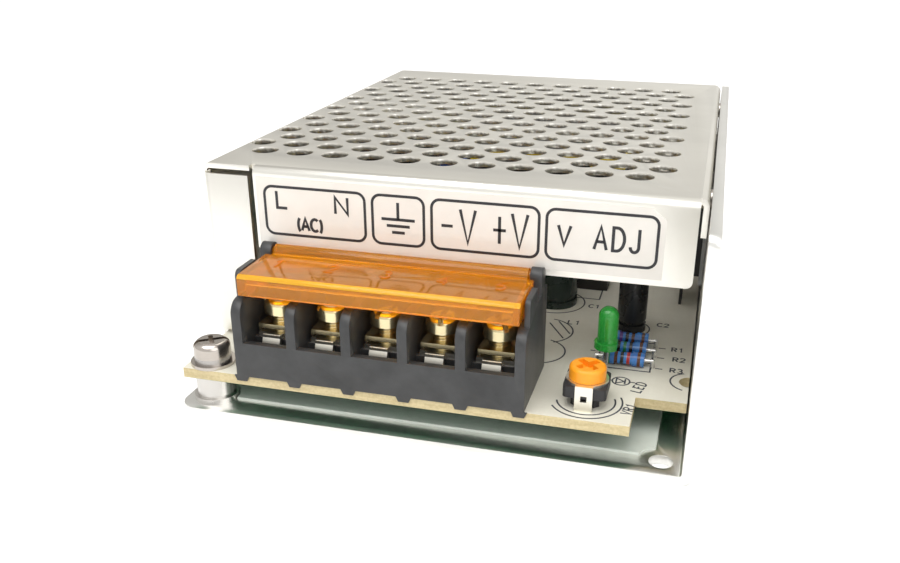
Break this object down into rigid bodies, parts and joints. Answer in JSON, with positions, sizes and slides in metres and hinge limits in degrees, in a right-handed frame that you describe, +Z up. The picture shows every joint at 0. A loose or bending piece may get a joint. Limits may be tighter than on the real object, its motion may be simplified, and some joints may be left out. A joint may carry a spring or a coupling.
{
  "type": "enclosed switching power supply",
  "caption": "Open-bay switching power supply: folded metal chassis under a perforated folded cover, screw terminals behind a hinged see-through cover, trimmer and indicator lamp beside them.",
  "frame": {"origin": "middle of the case's underside", "axes": "+X to the right seen from the terminal side, +Y from the terminals to the back wall, +Z up"},
  "size_m": [0.078, 0.11, 0.036],
  "materials": {
    "chassis_sheet": "satin bare aluminium sheet",
    "cover_sheet": "smooth bare aluminium sheet",
    "zinc_steel": "zinc-plated steel",
    "label_film": "glossy pale film",
    "insulation_film": "pale insulating film",
    "board_laminate": "bare cream laminate",
    "standoff_metal": "plated steel",
    "spring_steel": "plated spring steel",
    "black_moulding": "matte black moulding",
    "plated_contact": "tin-plated brass",
    "amber_plastic": "clear orange plastic",
    "black_ceramic": "matte black",
    "orange_plastic": "semi-gloss orange",
    "green_lens": "tinted lens",
    "tinned_wire": "tinned wire",
    "resistor_blue": "lacquer with colour bands",
    "black_sleeve": "black shrink sleeve",
    "green_black_sleeve": "dark shrink sleeve",
    "powder_core": "painted powder core",
    "copper_wire": "enamelled copper",
    "ferrite": "dark ferrite",
    "bobbin_plastic": "black plastic",
    "yellow_tape": "polyester tape",
    "yellow_box": "yellow plastic case",
    "blue_coating": "blue epoxy coating",
    "fuse_glass": "clear glass",
    "dark_green_coating": "dark coating",
    "chip_black": "black moulding compound",
    "grey_pad": "grey silicone pad",
    "brass_screw": "bright plated brass",
    "printing_ink": "matte black ink"
  },
  "bodies": {
    "case": {"chassis": "chassis_sheet", "perforated_cover": "cover_sheet", "cover_screws": "zinc_steel", "front_label": "label_film", "insulating_sheet": "insulation_film", "circuit_board": "board_laminate", "board_standoffs": "standoff_metal", "board_screws": "zinc_steel", "board_spring_washers": "spring_steel", "board_flat_washers": "zinc_steel", "terminal_block": "black_moulding", "terminal_contacts": "plated_contact", "trimmer_base": "black_ceramic", "trimmer_plate": "plated_contact", "status_led": "green_lens", "led_leads": "tinned_wire", "resistor_1": "resistor_blue", "resistor_2": "resistor_blue", "resistor_3": "resistor_blue", "feedback_capacitor": "black_sleeve", "output_capacitors": "green_black_sleeve", "output_choke_core": "powder_core", "output_choke_winding": "copper_wire", "transformer_core": "ferrite", "transformer_bobbin": "bobbin_plastic", "transformer_winding": "yellow_tape", "transformer_tape": "yellow_tape", "bulk_capacitor": "black_sleeve", "line_choke_core": "ferrite", "line_choke_windings": "copper_wire", "film_capacitor": "yellow_box", "disc_capacitor": "blue_coating", "fuse_tube": "fuse_glass", "fuse_caps": "tinned_wire", "inrush_thermistor": "dark_green_coating", "bridge_rectifier": "chip_black", "switching_transistor": "chip_black", "output_rectifier": "chip_black", "device_clips": "spring_steel", "thermal_pads": "grey_pad", "control_chip": "chip_black", "optocoupler": "chip_black"},
    "terminal_lid": {"terminal_cover": "amber_plastic"},
    "trimmer_knob": {"trimmer_rotor": "orange_plastic"},
    "clamp_1": {"clamp_washer_1": "brass_screw"},
    "screw_1": {"terminal_screw_1": "brass_screw"},
    "clamp_2": {"clamp_washer_2": "brass_screw"},
    "screw_2": {"terminal_screw_2": "brass_screw"},
    "clamp_3": {"clamp_washer_3": "brass_screw"},
    "screw_3": {"terminal_screw_3": "brass_screw"},
    "clamp_4": {"clamp_washer_4": "brass_screw"},
    "screw_4": {"terminal_screw_4": "brass_screw"},
    "clamp_5": {"clamp_washer_5": "brass_screw"},
    "screw_5": {"terminal_screw_5": "brass_screw"}
  },
  "joints": [
    {"name": "terminal_lid_hinge", "type": "hinge", "parent": "case", "child": "terminal_lid", "pos_m": [-0.00675, -0.04182, 0.0234], "axis": [-1, 0, 0], "range_deg": [0, 95]},
    {"name": "trimmer_turn", "type": "hinge", "parent": "case", "child": "trimmer_knob", "pos_m": [0.0231, -0.0477, 0.01135], "axis": [0, 0, 1], "range_deg": [-105, 105]},
    {"name": "clamp_1_lift", "type": "slide", "parent": "case", "child": "clamp_1", "axis": [0, 0, 1], "range_m": [-0.00044, 0.002]},
    {"name": "screw_1_turn", "type": "hinge", "parent": "clamp_1", "child": "screw_1", "pos_m": [-0.02375, -0.0472, 0.0161], "axis": [0, 0, 1], "range_deg": [-320, 1445]},
    {"name": "clamp_2_lift", "type": "slide", "parent": "case", "child": "clamp_2", "axis": [0, 0, 1], "range_m": [-0.00044, 0.002]},
    {"name": "screw_2_turn", "type": "hinge", "parent": "clamp_2", "child": "screw_2", "pos_m": [-0.01525, -0.0472, 0.0161], "axis": [0, 0, 1], "range_deg": [-320, 1445]},
    {"name": "clamp_3_lift", "type": "slide", "parent": "case", "child": "clamp_3", "axis": [0, 0, 1], "range_m": [-0.00044, 0.002]},
    {"name": "screw_3_turn", "type": "hinge", "parent": "clamp_3", "child": "screw_3", "pos_m": [-0.00675, -0.0472, 0.0161], "axis": [0, 0, 1], "range_deg": [-320, 1445]},
    {"name": "clamp_4_lift", "type": "slide", "parent": "case", "child": "clamp_4", "axis": [0, 0, 1], "range_m": [-0.00044, 0.002]},
    {"name": "screw_4_turn", "type": "hinge", "parent": "clamp_4", "child": "screw_4", "pos_m": [0.00175, -0.0472, 0.0161], "axis": [0, 0, 1], "range_deg": [-320, 1445]},
    {"name": "clamp_5_lift", "type": "slide", "parent": "case", "child": "clamp_5", "axis": [0, 0, 1], "range_m": [-0.00044, 0.002]},
    {"name": "screw_5_turn", "type": "hinge", "parent": "clamp_5", "child": "screw_5", "pos_m": [0.01025, -0.0472, 0.0161], "axis": [0, 0, 1], "range_deg": [-320, 1445]}
  ],
  "couplings": [
    {"joint": "screw_1_turn", "follows": "clamp_1_lift", "rad_per_m": 12566},
    {"joint": "screw_2_turn", "follows": "clamp_2_lift", "rad_per_m": 12566},
    {"joint": "screw_3_turn", "follows": "clamp_3_lift", "rad_per_m": 12566},
    {"joint": "screw_4_turn", "follows": "clamp_4_lift", "rad_per_m": 12566},
    {"joint": "screw_5_turn", "follows": "clamp_5_lift", "rad_per_m": 12566}
  ]
}
